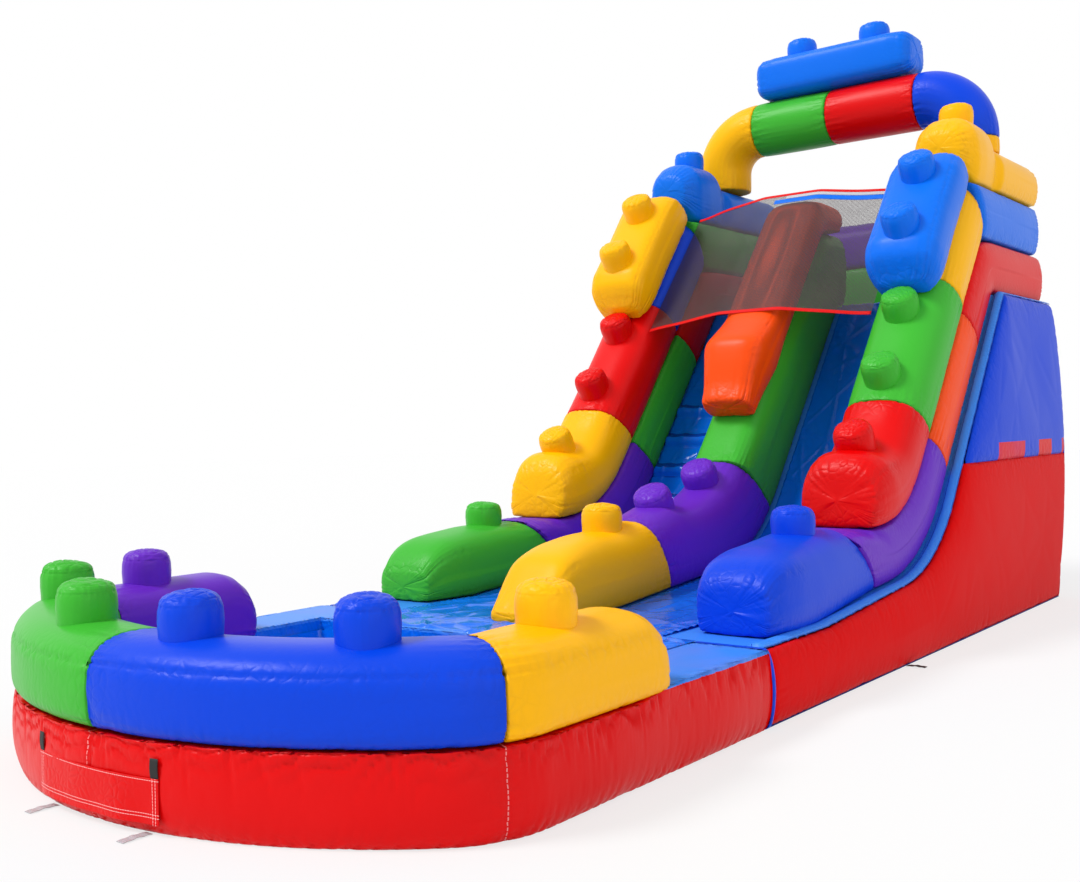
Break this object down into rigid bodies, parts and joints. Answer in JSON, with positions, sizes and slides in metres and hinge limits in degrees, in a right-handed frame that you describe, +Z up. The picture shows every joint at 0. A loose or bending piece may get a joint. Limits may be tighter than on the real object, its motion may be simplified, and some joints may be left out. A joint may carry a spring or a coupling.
{
  "type": "inflatable water slide",
  "caption": "Inflatable two-lane water slide with a splash pool, brick-like side walls with round studs, a net over the upper lanes and an arch.",
  "frame": {"origin": "the middle of the footprint, on the ground, straps and sleeve included", "axes": "+X is to the right of somebody who stands in the pool and looks up the lanes, +Y runs from the pool to the tower and along the length, +Z is up"},
  "size_m": [3.7666, 9.5392, 5.4653],
  "materials": {
    "arch_block": "semi-gloss coated vinyl with welded and stitched seams",
    "arch_left_elbow": "semi-gloss coated vinyl with welded and stitched seams",
    "arch_right_elbow": "semi-gloss coated vinyl with welded and stitched seams",
    "arch_right_foot": "semi-gloss coated vinyl with welded and stitched seams",
    "arch_top_left": "semi-gloss coated vinyl with welded and stitched seams",
    "arch_top_right": "semi-gloss coated vinyl with welded and stitched seams",
    "back_wall_lower": "semi-gloss coated vinyl with welded and stitched seams",
    "back_wall_upper": "semi-gloss coated vinyl with welded and stitched seams",
    "bed_panel": "semi-gloss coated vinyl with welded and stitched seams",
    "body_baffle": "coated vinyl, hidden inside",
    "climbing_lane_sheet": "semi-gloss coated vinyl with welded and stitched seams",
    "divider_bend": "semi-gloss coated vinyl with welded and stitched seams",
    "divider_crest": "semi-gloss coated vinyl with welded and stitched seams",
    "divider_low_block": "semi-gloss coated vinyl with welded and stitched seams",
    "divider_tube": "semi-gloss coated vinyl with welded and stitched seams",
    "flap_tab_left": "black woven webbing",
    "flap_tab_right": "black woven webbing",
    "front_flap": "semi-gloss coated vinyl, stitched",
    "hanging_strap": "blue woven webbing",
    "inflation_sleeve": "coated nylon cloth",
    "join_band": "semi-gloss coated vinyl with welded and stitched seams",
    "left_low_block": "semi-gloss coated vinyl with welded and stitched seams",
    "left_lower_panel": "semi-gloss coated vinyl with welded and stitched seams",
    "left_lower_tube_green": "semi-gloss coated vinyl with welded and stitched seams",
    "left_lower_tube_purple": "semi-gloss coated vinyl with welded and stitched seams",
    "left_lower_tube_red": "semi-gloss coated vinyl with welded and stitched seams",
    "left_middle_block": "semi-gloss coated vinyl with welded and stitched seams",
    "left_middle_rail": "semi-gloss coated vinyl with welded and stitched seams",
    "left_top_block": "semi-gloss coated vinyl with welded and stitched seams",
    "left_top_rail": "semi-gloss coated vinyl with welded and stitched seams",
    "left_upper_panel": "semi-gloss coated vinyl with welded and stitched seams",
    "left_upper_strip": "semi-gloss coated vinyl with welded and stitched seams",
    "left_upper_tube": "semi-gloss coated vinyl with welded and stitched seams",
    "liner_apron": "semi-gloss coated vinyl with welded and stitched seams",
    "nose_strap_left": "milky woven webbing",
    "nose_strap_right": "milky woven webbing",
    "pool_base": "semi-gloss coated vinyl with welded and stitched seams",
    "pool_liner": "semi-gloss coated vinyl with welded and stitched seams",
    "pool_ring_blue": "semi-gloss coated vinyl with welded and stitched seams",
    "pool_ring_green": "semi-gloss coated vinyl with welded and stitched seams",
    "pool_ring_purple": "semi-gloss coated vinyl with welded and stitched seams",
    "pool_ring_yellow": "semi-gloss coated vinyl with welded and stitched seams",
    "rear_panel": "semi-gloss coated vinyl with welded and stitched seams",
    "right_low_block": "semi-gloss coated vinyl with welded and stitched seams",
    "right_lower_panel": "semi-gloss coated vinyl with welded and stitched seams",
    "right_lower_tube_orange": "semi-gloss coated vinyl with welded and stitched seams",
    "right_lower_tube_purple": "semi-gloss coated vinyl with welded and stitched seams",
    "right_lower_tube_red": "semi-gloss coated vinyl with welded and stitched seams",
    "right_middle_block": "semi-gloss coated vinyl with welded and stitched seams",
    "right_middle_rail": "semi-gloss coated vinyl with welded and stitched seams",
    "right_top_block": "semi-gloss coated vinyl with welded and stitched seams",
    "right_top_rail": "semi-gloss coated vinyl with welded and stitched seams",
    "right_upper_panel": "semi-gloss coated vinyl with welded and stitched seams",
    "right_upper_strip": "semi-gloss coated vinyl with welded and stitched seams",
    "right_upper_tube": "semi-gloss coated vinyl with welded and stitched seams",
    "safety_net": "black knotted net cord",
    "side_anchor_left": "black woven webbing",
    "side_anchor_right": "black woven webbing",
    "slide_ground_sheet": "semi-gloss coated vinyl with welded and stitched seams",
    "slide_lane_sheet": "semi-gloss coated vinyl with welded and stitched seams"
  },
  "bodies": {
    "slide": {"arch_block": "arch_block", "arch_left_elbow": "arch_left_elbow", "arch_right_elbow": "arch_right_elbow", "arch_right_foot": "arch_right_foot", "arch_top_left": "arch_top_left", "arch_top_right": "arch_top_right", "back_wall_lower": "back_wall_lower", "back_wall_upper": "back_wall_upper", "bed_panel": "bed_panel", "body_baffle": "body_baffle", "climbing_lane_sheet": "climbing_lane_sheet", "divider_bend": "divider_bend", "divider_crest": "divider_crest", "divider_low_block": "divider_low_block", "divider_tube": "divider_tube", "flap_tab_left": "flap_tab_left", "flap_tab_right": "flap_tab_right", "inflation_sleeve": "inflation_sleeve", "join_band": "join_band", "left_low_block": "left_low_block", "left_lower_panel": "left_lower_panel", "left_lower_tube_green": "left_lower_tube_green", "left_lower_tube_purple": "left_lower_tube_purple", "left_lower_tube_red": "left_lower_tube_red", "left_middle_block": "left_middle_block", "left_middle_rail": "left_middle_rail", "left_top_block": "left_top_block", "left_top_rail": "left_top_rail", "left_upper_panel": "left_upper_panel", "left_upper_strip": "left_upper_strip", "left_upper_tube": "left_upper_tube", "liner_apron": "liner_apron", "pool_base": "pool_base", "pool_liner": "pool_liner", "pool_ring_blue": "pool_ring_blue", "pool_ring_green": "pool_ring_green", "pool_ring_purple": "pool_ring_purple", "pool_ring_yellow": "pool_ring_yellow", "rear_panel": "rear_panel", "right_low_block": "right_low_block", "right_lower_panel": "right_lower_panel", "right_lower_tube_orange": "right_lower_tube_orange", "right_lower_tube_purple": "right_lower_tube_purple", "right_lower_tube_red": "right_lower_tube_red", "right_middle_block": "right_middle_block", "right_middle_rail": "right_middle_rail", "right_top_block": "right_top_block", "right_top_rail": "right_top_rail", "right_upper_panel": "right_upper_panel", "right_upper_strip": "right_upper_strip", "right_upper_tube": "right_upper_tube", "safety_net": "safety_net", "slide_ground_sheet": "slide_ground_sheet", "slide_lane_sheet": "slide_lane_sheet"},
    "front_flap": {"front_flap": "front_flap"},
    "hanging_strap": {"hanging_strap": "hanging_strap"},
    "side_anchor_left": {"side_anchor_left": "side_anchor_left"},
    "side_anchor_right": {"side_anchor_right": "side_anchor_right"},
    "nose_strap_left": {"nose_strap_left": "nose_strap_left"},
    "nose_strap_right": {"nose_strap_right": "nose_strap_right"}
  },
  "joints": [
    {"name": "front_flap_lift", "type": "hinge", "parent": "slide", "child": "front_flap", "pos_m": [0, -4.68384, 0.25], "axis": [-1, 0, 0], "range_deg": [0, 100]},
    {"name": "hanging_strap_lift", "type": "hinge", "parent": "slide", "child": "hanging_strap", "pos_m": [1.69629, 3.47934, 2.71], "axis": [0, -1, 0], "range_deg": [0, 90]},
    {"name": "side_anchor_left_lift", "type": "hinge", "parent": "slide", "child": "side_anchor_left", "pos_m": [-1.7533, 0.45434, 0.004], "axis": [0, 1, 0], "range_deg": [0, 45]},
    {"name": "side_anchor_right_lift", "type": "hinge", "parent": "slide", "child": "side_anchor_right", "pos_m": [1.7533, 0.45434, 0.004], "axis": [0, -1, 0], "range_deg": [0, 45]},
    {"name": "nose_strap_left_lift", "type": "hinge", "parent": "slide", "child": "nose_strap_left", "pos_m": [-0.36, -4.60965, 0.0033], "axis": [-1, 0, 0], "range_deg": [0, 35]},
    {"name": "nose_strap_right_lift", "type": "hinge", "parent": "slide", "child": "nose_strap_right", "pos_m": [0.36, -4.60965, 0.0033], "axis": [-1, 0, 0], "range_deg": [0, 35]}
  ]
}
